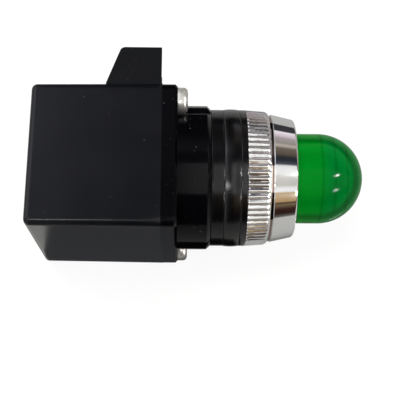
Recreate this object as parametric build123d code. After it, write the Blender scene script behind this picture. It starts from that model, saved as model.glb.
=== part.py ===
from build123d import *
import math
import os

# An illuminated pushbutton for a panel hole, lying on its side.
# X is the axis of the push and points out of the panel, towards the domed lens. Z is up.
# The origin is on that axis, on the seat that the panel's front face meets: the rear of the front gasket.

# Rear case, a drafted square moulding
case_square = 31.2
case_length = 27.05
case_draft = 0.7
case_wall = 1.6
case_edge_round = 1.8
case_rear_round = 1.2
case_cavity_round = 0.3

# Front body: square flange, round drum as wide as the case, and threaded neck, in one moulding
flange_thickness = 3.2
flange_corner_round = 2.0
flange_front_bevel = 0.5
drum_length = 7.05
drum_bevel = 0.85
moulding_overlap = 1.0
neck_wall = 1.4
web_thickness = 2.0
web_setback = 0.1

# Rings on the neck, from the drum to the knurled nut
ring_width = 2.4
spacer_thickness = 2.65
rear_gasket_thickness = 3.43
front_gasket_thickness = 1.37
gasket_bulge = 0.15
ring_clearance = 0.1

# Knurled nut
nut_length = 4.75
nut_taper = 1.5
nut_bevel = 0.25
nut_shoulder = 0.8
nut_lip = 0.55
nut_lip_slope = 0.15
knurl_taper = 0.5
knurl_count = 72
knurl_depth = 0.35
knurl_crest = 0.05
knurl_end_depth = 0.03

# Chromed nose
nose_step = 0.3
nose_taper = 1.7
nose_groove = 0.7
nose_groove_depth = 0.2
nose_length = 4.95
nose_round = 1.2
nose_rear_bevel = 0.15
nose_lip = 2.97
lens_clearance = 0.3

# Domed lens, stepped inside
lens_diameter = 19.6
lens_reach = 5.55
lens_wall = 1.5
lens_step_count = 3
lens_step_depth_share = 0.976
lens_foot_thickness = 1.5
lens_foot_width = 0.6

# Holder and plunger that carry the lens
push_travel = 4.0
stop_gap = 0.1
sliding_clearance = 0.3
holder_length = 7.2
holder_bore_clearance = 1.0
holder_spigot = 2.0
holder_spigot_clearance = 0.2
seal_groove_width = 1.8
seal_groove_depth = 1.2
seal_setback = 2.4
seal_shoulder = 0.3
seal_proud = 0.15
plunger_ring = 2.0
leg_width = 5.0
leg_thickness = 1.3
leg_inset = 0.3

# Lamp and its socket
lamp_cap_diameter = 9.2
lamp_cap_length = 12.5
lamp_cap_rim = 0.35
lamp_cap_clearance = 0.3
lamp_tip_gap = 3.5
lamp_tip_radius = 1.4
lamp_glass_diameter = 10.0
lamp_glass_length = 13.0
lamp_glass_taper = 1.5
socket_wall = 0.5
socket_front_reach = 13.0
socket_base_wall = 2.1
socket_floor = 1.0
centre_pin_diameter = 2.4
centre_pin_head = 0.8

# Case screws, pan headed, on one diagonal of the flange
case_screw_inset = 3.0
case_screw_shank = 3.0
case_screw_reach = 12.0
case_screw_head = 5.4
case_screw_head_height = 2.1
case_screw_slot = 0.8
screw_hole_clearance = 0.15
screw_pocket_clearance = 0.35
screw_crown_share = 0.45
screw_recess_share = 0.5
screw_arm_share = 0.34
screw_boss_wall = 1.35
screw_point = 0.4
screw_hole_spare = 1.0
thread_clearance = 0.05

# Terminal block on the +Y side, with five barriers and four bays
barrier_thickness = 1.4
barrier_drop = 1.0
barrier_count = 5
barrier_reach = 8.3
barrier_base_length = 11.75
barrier_outer_length = 8.75
barrier_corner_round = 1.2
top_barrier_setback = 0.25
block_wall = 1.2
block_root = 1.0
shelf_setback = 0.6
shelf_thickness = 1.97
shelf_reach = 7.0

# Terminals, their clamping screws and washers
strip_thickness = 0.8
terminal_side_gap = 0.275
terminal_end_gap = 0.8
terminal_root_gap = 0.3
terminal_shank = 3.0
terminal_head = 4.8
terminal_head_height = 1.8
terminal_slot = 0.7
screw_end_cover = 0.47
washer_thickness = 0.8
washer_corner_round = 0.5
lamp_strip_width = 1.5
lamp_strip_gap = 0.275
lamp_arm_gap = 1.1
lamp_arm_width = 3.4
lamp_tab = 1.4

# Contact set behind the plunger
contact_strip_inner = 9.0
contact_foot_inner = -2.5
contact_overtravel = 1.0
contact_touch_gap = 0.05
contact_button_height = 0.2
rivet_diameter = 3.0
rivet_height = 1.0
bridge_thickness = 0.8
bridge_waist = 1.5
bridge_side_gap = 0.2
carrier_head_thickness = 2.2
carrier_head_overlap = 0.6
carrier_head_round = 0.8
carrier_side_overlap = 0.7
carrier_post = 1.2
carrier_window_half_height = 2.2
carrier_foot_gap = 0.7
carrier_drop = 6.9
carrier_end_wall = 1.3
guide_clearance = 0.3
guide_rib_thickness = 1.2
guide_rib_overlap = 2.0
strip_plane_gap = 0.9

# Springs
return_wire = 0.9
return_turns = 4
contact_wire = 0.4
contact_coil_diameter = 2.8
contact_turns = 6
carrier_wire = 0.45
carrier_coil_diameter = 3.4
carrier_turns = 9
wire_sides = 8

# Diameters and radii that fit in and on each other, from the lens outwards
nose_opening = lens_diameter + 2 * lens_clearance
lens_foot_diameter = nose_opening + 2 * lens_foot_width
sliding_radius = lens_foot_diameter / 2
neck_bore = lens_foot_diameter + 2 * sliding_clearance
neck_diameter = neck_bore + 2 * neck_wall
ring_diameter = neck_diameter + 2 * ring_width
nut_rear_diameter = ring_diameter
nut_front_diameter = nut_rear_diameter - nut_taper
nose_rear_diameter = nut_front_diameter - nose_step
nose_front_diameter = nose_rear_diameter - nose_taper
nose_groove_diameter = nose_rear_diameter - 2 * nose_groove_depth
socket_inner_diameter = lamp_cap_diameter + 2 * lamp_cap_clearance
socket_outer_diameter = socket_inner_diameter + 2 * socket_wall
socket_base_diameter = socket_outer_diameter + 2 * socket_base_wall
holder_bore = socket_outer_diameter + 2 * holder_bore_clearance
leg_outer_radius = sliding_radius - leg_inset
leg_inner_radius = leg_outer_radius - leg_thickness
return_coil_diameter = socket_outer_diameter / 2 + leg_inner_radius

# Stations along X, from the panel seat
gasket_front_x = front_gasket_thickness
nut_front_x = gasket_front_x + nut_length
nut_lip_x = nut_front_x - nut_lip
nut_shoulder_x = nut_lip_x - nut_shoulder
nose_rear_x = nut_front_x + nose_groove
nose_front_x = nose_rear_x + nose_length
neck_front_x = nose_front_x - nose_lip
dome_centre_x = nose_front_x + lens_reach
spacer_front_x = -rear_gasket_thickness
drum_front_x = spacer_front_x - spacer_thickness
flange_front_x = drum_front_x - drum_length
flange_rear_x = flange_front_x - flange_thickness
case_rear_x = flange_rear_x - case_length
case_floor_x = case_rear_x + case_wall

web_rear_x = flange_front_x + web_setback
web_front_x = web_rear_x + web_thickness
lens_foot_front_x = neck_front_x - stop_gap
lens_foot_rear_x = lens_foot_front_x - lens_foot_thickness
holder_rear_x = lens_foot_rear_x - holder_length
plunger_rear_x = holder_rear_x - plunger_ring

top_barrier_front_x = flange_rear_x - top_barrier_setback
shelf_front_x = flange_rear_x - shelf_setback
shelf_rear_x = shelf_front_x - shelf_thickness
strip_rear_x = shelf_rear_x - strip_thickness
washer_rear_x = strip_rear_x - washer_thickness
lamp_tip_x = shelf_rear_x + lamp_tip_gap
carrier_front_x = strip_rear_x - strip_plane_gap
carrier_head_rear_x = carrier_front_x - carrier_head_thickness
bridge_rear_x = carrier_head_rear_x - carrier_drop
bridge_front_x = bridge_rear_x + bridge_thickness
carrier_rear_x = bridge_rear_x - carrier_end_wall
contact_gap = push_travel - contact_overtravel + contact_touch_gap
rivet_front_x = bridge_rear_x - contact_gap
foot_front_x = rivet_front_x - rivet_height
foot_rear_x = foot_front_x - strip_thickness

# Places across the axis
half_square = case_square / 2
case_screw_offset = half_square - case_screw_inset
case_screw_hole = case_screw_shank + 2 * screw_hole_clearance
screw_pocket_radius = case_screw_head / 2 + screw_pocket_clearance
screw_boss_radius = case_screw_shank / 2 + thread_clearance + screw_boss_wall
barrier_top = half_square - barrier_drop
barrier_pitch = 2 * (barrier_top - barrier_thickness / 2) / (barrier_count - 1)
barrier_heights = [(i - (barrier_count - 1) / 2) * barrier_pitch for i in range(barrier_count)]
bay_heights = [(low + high) / 2 for low, high in zip(barrier_heights, barrier_heights[1:])]
terminal_width = barrier_pitch - barrier_thickness - 2 * terminal_side_gap
terminal_reach = shelf_reach - terminal_end_gap
terminal_hole = terminal_shank + 2 * screw_hole_clearance
terminal_screw_y = half_square + shelf_reach / 2
terminal_screw_reach = washer_thickness + strip_thickness + shelf_thickness - screw_end_cover
lamp_strip_far = case_screw_offset - screw_boss_radius - lamp_strip_gap
lamp_strip_near = lamp_strip_far - lamp_strip_width
lamp_arm_near = leg_width / 2 + lamp_arm_gap
lamp_arm_far = lamp_arm_near + lamp_arm_width
contact_foot_near = carrier_window_half_height + carrier_foot_gap
contact_foot_far = contact_foot_near + rivet_diameter
rivet_z = (contact_foot_near + contact_foot_far) / 2
carrier_half_width = leg_width / 2 + carrier_side_overlap
carrier_half_length = leg_outer_radius + carrier_head_overlap
guide_rib_start = carrier_half_length - guide_rib_overlap
bridge_width = 2 * (carrier_half_width - carrier_post - bridge_side_gap)


def turned(points):
    """A solid of revolution about X from (x, radius) points."""
    return revolve(make_face(Polyline(*points, close=True)), axis=Axis.X)


def ring(x0, x1, outer_diameter, inner_diameter):
    """A plain ring or tube about X."""
    outer = outer_diameter / 2
    inner = inner_diameter / 2
    return turned([(x0, inner), (x0, outer), (x1, outer), (x1, inner)])


def rod(x0, x1, diameter, y=0.0, z=0.0):
    """A plain round bar along X."""
    start = Plane(origin=(x0, y, z), x_dir=(0, 1, 0), z_dir=(1, 0, 0))
    return extrude(start * Circle(diameter / 2), x1 - x0)


def slab(x0, x1, y0, y1, z0, z1):
    """A rectangular block between two corners."""
    return Pos(x0, y0, z0) * Box(x1 - x0, y1 - y0, z1 - z0, align=(Align.MIN, Align.MIN, Align.MIN))


def square_block(x_front, length, side, corner_round, draft=0.0):
    """A square block with rounded corners that runs rearward, narrowing with its draft."""
    start = Plane(origin=(x_front, 0, 0), x_dir=(0, 1, 0), z_dir=(-1, 0, 0))
    return extrude(start * RectangleRounded(side, side, corner_round), length, taper=draft)


def coil(x0, x1, mean_diameter, wire, turns):
    """A compression spring whose wire touches the planes x0 and x1."""
    rise = x1 - x0 - wire
    path = Helix(pitch=rise / turns, height=rise, radius=mean_diameter / 2)
    section = Plane(path @ 0, z_dir=path % 0) * RegularPolygon(wire / 2, wire_sides)
    spring = sweep(section, path=path, is_frenet=True)
    return Pos(x0 + wire / 2, 0, 0) * Rot(0, 90, 0) * spring


def pan_screw(reach, shank, head, head_height, slot_width):
    """A pan-headed screw seated at x = 0, its head towards +X, with a cross recess."""
    crown = screw_crown_share * head_height
    corner = crown * (1 - math.sqrt(0.5))
    profile = Polyline(
        (-reach, 0),
        (-reach, shank / 2 - screw_point),
        (-reach + screw_point, shank / 2),
        (0, shank / 2),
        (0, head / 2),
        (head_height - crown, head / 2),
    )
    rim = ThreePointArc(
        (head_height - crown, head / 2),
        (head_height - corner, head / 2 - corner),
        (head_height, head / 2 - crown),
    )
    top = Polyline((head_height, head / 2 - crown), (head_height, 0), (-reach, 0))
    body = revolve(make_face(profile + rim + top), axis=Axis.X)
    recess = screw_recess_share * head_height
    arm = screw_arm_share * head
    for turn in (0, 90):
        body -= Rot(turn, 0, 0) * Pos(head_height, 0, 0) * Box(2 * recess, 2 * arm, slot_width)
    return body


def notch(depth):
    """Window in the case's side wall, open to the flange, that takes the terminal block."""
    rear_x = flange_rear_x - barrier_base_length
    return slab(rear_x, flange_rear_x, half_square - depth, half_square + depth, -barrier_top, barrier_top)


def rear_case():
    """Open-fronted square case with screw bosses, carrier guides and contact pedestals."""
    shell = square_block(flange_rear_x, case_length, case_square, case_edge_round, case_draft)
    shell = fillet(shell.faces().sort_by(Axis.X)[0].edges(), case_rear_round)
    cavity_side = case_square - 2 * case_wall
    cavity = square_block(flange_rear_x, case_length - case_wall, cavity_side, case_cavity_round, case_draft)
    boss_rear_x = flange_rear_x - case_screw_reach
    inside = []
    for side in (1, -1):
        place = side * case_screw_offset
        inside.append(rod(boss_rear_x, flange_rear_x, 2 * screw_boss_radius, place, place))
        for edge in (1, -1):
            near = edge * (carrier_half_width + guide_clearance)
            far = near + edge * guide_rib_thickness
            outer = side * half_square
            inner = side * guide_rib_start
            inside.append(
                slab(
                    case_rear_x,
                    carrier_front_x + guide_clearance,
                    min(near, far),
                    max(near, far),
                    min(inner, outer),
                    max(inner, outer),
                )
            )
        low, high = sorted((side * contact_foot_near, side * contact_foot_far))
        foot_outer = contact_strip_inner + strip_thickness
        inside.append(slab(case_rear_x, foot_rear_x, contact_foot_inner, foot_outer, low, high))
    case = shell - cavity - notch(2 * case_wall)
    for piece in inside:
        case += piece & shell
    case -= notch(block_wall)
    hole_reach = case_screw_reach - flange_thickness + screw_hole_spare
    for side in (1, -1):
        place = side * case_screw_offset
        hole = case_screw_shank + 2 * thread_clearance
        case -= rod(flange_rear_x - hole_reach, flange_rear_x, hole, place, place)
    return case


def front_body():
    """Flange, drum and neck in one moulding, bored for the button and pocketed for the screws."""
    flange = square_block(flange_front_x, flange_thickness, case_square, flange_corner_round)
    flange = chamfer(flange.faces().sort_by(Axis.X)[-1].edges(), flange_front_bevel)
    drum = half_square
    neck = neck_diameter / 2
    turned_part = turned(
        [
            (flange_front_x - moulding_overlap, 0),
            (flange_front_x - moulding_overlap, drum - moulding_overlap),
            (flange_front_x, drum - moulding_overlap),
            (flange_front_x, drum),
            (drum_front_x - drum_bevel, drum),
            (drum_front_x, drum - drum_bevel),
            (drum_front_x, neck),
            (neck_front_x, neck),
            (neck_front_x, 0),
        ]
    )
    for side in (1, -1):
        place = side * case_screw_offset
        turned_part -= rod(flange_front_x, drum_front_x, 2 * screw_pocket_radius, place, place)
    body = flange + turned_part
    body -= rod(flange_rear_x, neck_front_x, neck_bore)
    body += rod(web_rear_x, web_front_x, neck_bore)
    body -= rod(web_rear_x, web_front_x, socket_outer_diameter + 2 * thread_clearance)
    for side in (1, -1):
        body -= leg(web_rear_x, web_front_x, side, sliding_clearance)
        place = side * case_screw_offset
        body -= rod(flange_rear_x, flange_front_x, case_screw_hole, place, place)
    return body


def leg(x0, x1, side, clearance=0.0):
    """A curved leg of the plunger, above or below the axis, or the slot that it passes through."""
    arc_ring = ring(x0, x1, 2 * (leg_outer_radius + clearance), 2 * (leg_inner_radius - clearance))
    half = leg_width / 2 + clearance
    low, high = sorted((0, side * (leg_outer_radius + leg_thickness)))
    return arc_ring & slab(x0, x1, -half, half, low, high)


def ring_on_neck(x0, x1):
    """A flat ring seated on the neck, as wide as the knurled nut's rear."""
    return ring(x0, x1, ring_diameter, neck_diameter + 2 * ring_clearance)


def crowned_ring(x0, x1):
    """A ring on the neck whose rubber bulges where it is clamped."""
    inner = neck_diameter / 2 + ring_clearance
    outer = ring_diameter / 2
    sides = Polyline((x0, outer), (x0, inner), (x1, inner), (x1, outer))
    crown = ThreePointArc((x0, outer), ((x0 + x1) / 2, outer + gasket_bulge), (x1, outer))
    return revolve(make_face(sides + crown), axis=Axis.X)


def knurl_section(x, valley):
    """Outline of the knurl across the axis: a ring of V-shaped ridges, tip out to valley."""
    tip = valley + knurl_depth + knurl_crest
    points = []
    for i in range(knurl_count):
        for share, radius in ((0.0, tip), (0.5, valley)):
            angle = 2 * math.pi * (i + share) / knurl_count
            points.append((radius * math.cos(angle), radius * math.sin(angle)))
    place = Plane(origin=(x, 0, 0), x_dir=(0, 1, 0), z_dir=(1, 0, 0))
    return place * make_face(Polyline(*points, close=True))


def knurled_nut():
    """Round nut with a straight knurl that runs out on its shoulder, before a plain lip."""
    rear = nut_rear_diameter / 2
    front = nut_front_diameter / 2
    bore = neck_diameter / 2 + thread_clearance
    lip = front + nut_lip_slope
    shoulder = rear - knurl_taper / 2
    ridged = loft(
        [knurl_section(gasket_front_x, rear - knurl_depth), knurl_section(nut_lip_x, lip - knurl_end_depth)],
        ruled=True,
    )
    outline = Polyline(
        (nut_lip_x, lip),
        (nut_lip_x, bore),
        (gasket_front_x, bore),
        (gasket_front_x, rear - 2 * nut_bevel),
        (gasket_front_x + nut_bevel, rear),
        (nut_shoulder_x, shoulder),
    )
    rounded = TangentArc((nut_shoulder_x, shoulder), (nut_lip_x, lip), tangent=(1, 0))
    envelope = revolve(make_face(outline + rounded), axis=Axis.X)
    plain_lip = turned([(nut_lip_x, bore), (nut_lip_x, lip), (nut_front_x, front), (nut_front_x, bore)])
    return (ridged & envelope) + plain_lip


def nose():
    """Chromed conical nose that screws on the neck and holds the lens in."""
    seat = neck_diameter / 2 + thread_clearance
    opening = nose_opening / 2
    cone_end_x = nose_front_x - nose_round
    front_edge = nose_front_diameter / 2 - nose_round
    corner = nose_round * (1 - math.sqrt(0.5))
    outline = Polyline(
        (nose_front_x, front_edge),
        (nose_front_x, opening),
        (neck_front_x, opening),
        (neck_front_x, seat),
        (nut_front_x, seat),
        (nut_front_x, nose_groove_diameter / 2),
        (nose_rear_x, nose_groove_diameter / 2),
        (nose_rear_x, nose_rear_diameter / 2 - nose_rear_bevel),
        (nose_rear_x + nose_rear_bevel, nose_rear_diameter / 2),
        (cone_end_x, nose_front_diameter / 2),
    )
    corner_arc = ThreePointArc(
        (cone_end_x, nose_front_diameter / 2),
        (nose_front_x - corner, nose_front_diameter / 2 - corner),
        (nose_front_x, front_edge),
    )
    return revolve(make_face(outline + corner_arc), axis=Axis.X)


def lens():
    """Hollow domed lens with a foot behind the nose's lip and a bore that narrows in steps."""
    outer = lens_diameter / 2
    inner = outer - lens_wall
    foot = lens_foot_diameter / 2
    outline = Polyline(
        (dome_centre_x + outer, 0),
        (lens_foot_rear_x, 0),
        (lens_foot_rear_x, foot),
        (lens_foot_front_x, foot),
        (lens_foot_front_x, outer),
        (dome_centre_x, outer),
    )
    dome = TangentArc((dome_centre_x, outer), (dome_centre_x + outer, 0), tangent=(1, 0))
    solid = revolve(make_face(outline + dome), axis=Axis.X)
    solid -= rod(lens_foot_rear_x, dome_centre_x, 2 * inner)
    pitch = lens_step_depth_share * inner / lens_step_count
    for i in range(1, lens_step_count + 1):
        bore = 2 * math.sqrt(inner**2 - (i * pitch) ** 2)
        solid -= rod(dome_centre_x + (i - 1) * pitch, dome_centre_x + i * pitch, bore)
    return solid


def lens_holder():
    """Sleeve that the lens is pushed on, grooved for its seal."""
    outer = sliding_radius
    inner = holder_bore / 2
    spigot = lens_diameter / 2 - lens_wall - holder_spigot_clearance
    groove_x0 = holder_rear_x + seal_setback
    groove_x1 = groove_x0 + seal_groove_width
    floor = outer - seal_groove_depth
    return turned(
        [
            (holder_rear_x, inner),
            (holder_rear_x, outer),
            (groove_x0, outer),
            (groove_x0, floor),
            (groove_x1, floor),
            (groove_x1, outer),
            (lens_foot_rear_x, outer),
            (lens_foot_rear_x, spigot),
            (lens_foot_rear_x + holder_spigot, spigot),
            (lens_foot_rear_x + holder_spigot, inner),
        ]
    )


def button_seal():
    """Rubber ring in the holder's groove, crowned towards the bore."""
    floor = sliding_radius - seal_groove_depth
    crest = sliding_radius + seal_proud
    x0 = holder_rear_x + seal_setback
    x1 = x0 + seal_groove_width
    middle = (x0 + x1) / 2
    shoulder = sliding_radius - seal_shoulder
    outline = Polyline((x0, shoulder), (x0, floor), (x1, floor), (x1, shoulder))
    crown = ThreePointArc((x0, shoulder), (middle, crest), (x1, shoulder))
    return revolve(make_face(outline + crown), axis=Axis.X)


def plunger():
    """Ring under the holder with two legs that reach through the body to the contact carrier."""
    body = ring(plunger_rear_x, holder_rear_x, 2 * sliding_radius, holder_bore)
    for side in (1, -1):
        body += leg(carrier_front_x, holder_rear_x, side)
    return body


def contact_carrier():
    """Crossbar that the legs push, with a caged window for the contact bridge."""
    half = carrier_half_width
    length = carrier_half_length
    window = carrier_window_half_height
    body = slab(carrier_head_rear_x, carrier_front_x, -half, half, -length, length)
    body = fillet(body.edges().filter_by(Axis.X), carrier_head_round)
    for side in (1, -1):
        near, far = sorted((side * (half - carrier_post), side * half))
        body += slab(carrier_rear_x, carrier_head_rear_x, near, far, -window, window)
    body += slab(carrier_rear_x, bridge_rear_x, -half, half, -window, window)
    return body


def contact_bridge():
    """Moving contact strip, thicker at its waist, with a contact button at each end."""
    half = bridge_width / 2
    strip_x = bridge_rear_x + contact_button_height
    strip = slab(strip_x, bridge_front_x, -half, half, -contact_foot_far, contact_foot_far)
    for side in (1, -1):
        strip += rod(bridge_rear_x, strip_x, rivet_diameter, 0, side * rivet_z)
    strip += slab(bridge_rear_x, bridge_front_x, -half, half, -bridge_waist, bridge_waist)
    return strip


def barrier_outline(front_x):
    """Side view of one barrier, square at its front and slanted at its rear."""
    root_y = half_square - block_root
    rear_x = flange_rear_x - barrier_base_length
    outer = (flange_rear_x - barrier_outer_length, half_square + barrier_reach)
    points = [
        (rear_x, root_y),
        (rear_x, half_square),
        outer,
        (front_x, half_square + barrier_reach),
        (front_x, root_y),
    ]
    face = make_face(Polyline(*points, close=True))
    corner = face.vertices().sort_by_distance(Vector(outer[0], outer[1], 0))[0]
    return fillet(corner, barrier_corner_round)


def terminal_block(terminals):
    """Wall plate, shelf and barriers in one moulding, set in the notch of the case."""
    rear_x = flange_rear_x - barrier_base_length
    outer_y = half_square + shelf_reach
    block = slab(rear_x, flange_rear_x, half_square - block_wall, half_square, -barrier_top, barrier_top)
    block += slab(shelf_rear_x, shelf_front_x, half_square, outer_y, -barrier_top, barrier_top)
    for height in barrier_heights:
        outline = barrier_outline(top_barrier_front_x if height == barrier_heights[-1] else shelf_front_x)
        block += Pos(0, 0, height - barrier_thickness / 2) * extrude(outline, barrier_thickness)
    hole_end_x = washer_rear_x + terminal_screw_reach + thread_clearance
    hole = terminal_shank + 2 * thread_clearance
    for height, strip in zip(bay_heights, terminals):
        block -= strip
        block -= rod(strip_rear_x, hole_end_x, hole, terminal_screw_y, height)
    return block


def terminal_pad(height):
    """The part of a terminal that lies on the shelf, holed for its screw."""
    inner_y = half_square + terminal_root_gap
    outer_y = half_square + terminal_reach
    low = height - terminal_width / 2
    high = height + terminal_width / 2
    pad = slab(strip_rear_x, shelf_rear_x, inner_y, outer_y, low, high)
    return pad - rod(strip_rear_x, shelf_rear_x, terminal_hole, terminal_screw_y, height)


def contact_terminal(height):
    """Switch terminal that runs rearward inside the case and ends in a fixed contact."""
    side = math.copysign(1, height)
    low, high = sorted((side * contact_foot_near, side * contact_foot_far))
    inner_y = contact_strip_inner
    strip = terminal_pad(height)
    strip += slab(strip_rear_x, shelf_rear_x, inner_y, half_square + terminal_root_gap, low, high)
    strip += slab(foot_rear_x, shelf_rear_x, inner_y, inner_y + strip_thickness, low, high)
    strip += slab(foot_rear_x, foot_front_x, contact_foot_inner, inner_y + strip_thickness, low, high)
    return strip


def lamp_terminal(height, end_near, end_far, end_low, end_high):
    """Lamp terminal whose arm runs along the back of the socket to the given end."""
    side = math.copysign(1, height)
    low, high = sorted((side * lamp_strip_near, side * lamp_strip_far))
    strip = terminal_pad(height)
    strip += slab(strip_rear_x, shelf_rear_x, lamp_arm_near, half_square + terminal_root_gap, low, high)
    low, high = sorted((side * end_low, side * lamp_strip_far))
    strip += slab(strip_rear_x, shelf_rear_x, lamp_arm_near, lamp_arm_far, low, high)
    low, high = sorted((side * end_low, side * end_high))
    strip += slab(strip_rear_x, shelf_rear_x, end_near, end_far, low, high)
    return strip


def all_terminals():
    """The four terminals from the lowest bay to the highest."""
    shell_radius = (socket_outer_diameter + socket_inner_diameter) / 4
    shell_z = math.sqrt(shell_radius**2 - (lamp_arm_near + lamp_tab / 2) ** 2)
    shell_tab_low = shell_z - lamp_tab / 2
    pin = centre_pin_diameter / 2
    lowest = lamp_terminal(bay_heights[0], -pin, lamp_arm_far, -pin, pin)
    highest = lamp_terminal(
        bay_heights[3], lamp_arm_near, lamp_arm_near + lamp_tab, shell_tab_low, shell_tab_low + lamp_tab
    )
    tongue_x = shelf_rear_x + socket_floor
    tongue_y = lamp_arm_near + lamp_tab
    highest += slab(
        shelf_rear_x, tongue_x, lamp_arm_near, tongue_y, shell_tab_low, shell_tab_low + lamp_tab
    )
    return [lowest, contact_terminal(bay_heights[1]), contact_terminal(bay_heights[2]), highest]


def fixed_contact(side):
    """Contact rivet on the foot of a switch terminal."""
    return rod(foot_front_x, rivet_front_x, rivet_diameter, 0, side * rivet_z)


def socket_base(shell_terminal):
    """Moulded base behind the web that holds the lamp's shell and centre contact."""
    base = rod(shelf_rear_x, web_rear_x, socket_base_diameter)
    base -= rod(shelf_rear_x + socket_floor, web_rear_x, socket_outer_diameter)
    base -= rod(shelf_rear_x, web_rear_x, centre_pin_diameter + 2 * thread_clearance)
    return base - shell_terminal


def socket_shell():
    """Metal tube that the lamp plugs into."""
    x0 = shelf_rear_x + socket_floor
    return ring(x0, x0 + socket_front_reach, socket_outer_diameter, socket_inner_diameter)


def centre_contact():
    """Headed pin between the lamp's tip and its terminal."""
    pin = rod(shelf_rear_x, lamp_tip_x, centre_pin_diameter)
    return pin + rod(lamp_tip_x - centre_pin_head, lamp_tip_x, 2 * lamp_tip_radius)


def lamp_cap():
    """Metal cap of the lamp with its soldered tip and front rim."""
    radius = lamp_cap_diameter / 2
    front_x = lamp_tip_x + lamp_cap_length
    rim_x = front_x - 2 * lamp_cap_rim
    return turned(
        [
            (lamp_tip_x, 0),
            (lamp_tip_x, lamp_tip_radius),
            (lamp_tip_x + lamp_tip_radius, radius / 2),
            (lamp_tip_x + 2 * lamp_tip_radius, radius),
            (rim_x, radius),
            (rim_x, radius + lamp_cap_rim),
            (front_x, radius + lamp_cap_rim),
            (front_x, 0),
        ]
    )


def lamp_glass():
    """Round-ended glass bulb of the lamp."""
    x0 = lamp_tip_x + lamp_cap_length
    radius = lamp_glass_diameter / 2
    neck = lamp_cap_diameter / 2 - lamp_cap_rim
    shoulder_x = x0 + lamp_glass_taper
    end_x = x0 + lamp_glass_length - radius
    bulb = rod(shoulder_x, end_x, lamp_glass_diameter) + Pos(end_x, 0, 0) * Sphere(radius)
    return bulb + turned([(x0, 0), (x0, neck), (shoulder_x, radius), (shoulder_x, 0)])


def clamp_washer(height):
    """Square washer under a terminal screw's head."""
    x0 = washer_rear_x
    plate = Pos(0, terminal_screw_y, height) * slab(
        x0,
        strip_rear_x,
        -terminal_width / 2,
        terminal_width / 2,
        -terminal_width / 2,
        terminal_width / 2,
    )
    plate = fillet(plate.edges().filter_by(Axis.X), washer_corner_round)
    return plate - rod(x0, strip_rear_x, terminal_hole, terminal_screw_y, height)


def build_parts():
    """Every piece of the switch under its own name."""
    terminals = all_terminals()
    parts = {
        "rear_case": rear_case(),
        "front_body": front_body(),
        "spacer_ring": ring_on_neck(drum_front_x, spacer_front_x),
        "rear_gasket": crowned_ring(spacer_front_x, 0),
        "front_gasket": ring_on_neck(0, gasket_front_x),
        "knurled_nut": knurled_nut(),
        "nose_bezel": nose(),
        "lens": lens(),
        "lens_holder": lens_holder(),
        "button_seal": button_seal(),
        "plunger": plunger(),
        "contact_carrier": contact_carrier(),
        "contact_bridge": contact_bridge(),
        "terminal_block": terminal_block(terminals),
        "socket_base": socket_base(terminals[3]),
        "socket_shell": socket_shell(),
        "centre_contact": centre_contact(),
        "lamp_cap": lamp_cap(),
        "lamp_glass": lamp_glass(),
        "return_spring": coil(web_front_x, plunger_rear_x, return_coil_diameter, return_wire, return_turns),
        "contact_spring": coil(
            bridge_front_x, carrier_head_rear_x, contact_coil_diameter, contact_wire, contact_turns
        ),
        "carrier_spring": coil(
            case_floor_x, carrier_rear_x, carrier_coil_diameter, carrier_wire, carrier_turns
        ),
    }
    case_screw = pan_screw(
        case_screw_reach, case_screw_shank, case_screw_head, case_screw_head_height, case_screw_slot
    )
    for number, side in enumerate((1, -1), 1):
        place = side * case_screw_offset
        parts[f"case_screw_{number}"] = Pos(flange_front_x, place, place) * case_screw
    terminal_screw = pan_screw(
        terminal_screw_reach, terminal_shank, terminal_head, terminal_head_height, terminal_slot
    )
    for number, (height, strip) in enumerate(zip(bay_heights, terminals), 1):
        seat = Pos(washer_rear_x, terminal_screw_y, height) * Rot(0, 0, 180)
        parts[f"terminal_{number}"] = strip
        parts[f"clamp_washer_{number}"] = clamp_washer(height)
        parts[f"terminal_screw_{number}"] = seat * terminal_screw
    for number, side in enumerate((-1, 1), 1):
        parts[f"fixed_contact_{number}"] = fixed_contact(side)
    return parts


def main():
    os.makedirs("parts", exist_ok=True)
    for name, solid in build_parts().items():
        export_step(solid, f"parts/{name}.step")


main()
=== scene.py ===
import math
import random

import bmesh
import bpy
from mathutils import Matrix, Vector


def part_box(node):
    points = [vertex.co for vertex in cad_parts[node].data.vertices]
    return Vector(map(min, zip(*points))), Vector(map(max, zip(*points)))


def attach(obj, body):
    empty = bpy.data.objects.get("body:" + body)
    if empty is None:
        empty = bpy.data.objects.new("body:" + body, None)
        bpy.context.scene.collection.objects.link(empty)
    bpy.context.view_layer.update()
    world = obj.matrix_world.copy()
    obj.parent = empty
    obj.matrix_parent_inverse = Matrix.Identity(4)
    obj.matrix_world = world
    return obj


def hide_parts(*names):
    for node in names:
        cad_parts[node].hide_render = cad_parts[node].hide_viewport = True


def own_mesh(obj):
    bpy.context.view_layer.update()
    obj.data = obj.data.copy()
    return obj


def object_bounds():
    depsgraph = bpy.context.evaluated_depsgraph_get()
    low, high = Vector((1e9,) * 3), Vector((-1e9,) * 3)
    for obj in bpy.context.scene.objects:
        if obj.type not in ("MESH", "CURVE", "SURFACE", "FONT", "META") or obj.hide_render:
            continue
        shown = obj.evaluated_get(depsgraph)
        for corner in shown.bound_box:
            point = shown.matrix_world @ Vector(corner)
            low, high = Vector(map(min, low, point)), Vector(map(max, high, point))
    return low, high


bl_info = {
    "name": "Illuminated pushbutton",
    "version": (1, 0, 0),
    "blender": (4, 5, 0),
    "location": "3D View > Sidebar > Pushbutton",
    "description": "Dresses a packed illuminated pushbutton switch with its finished meshes and materials",
    "category": "Add Mesh",
}

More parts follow.
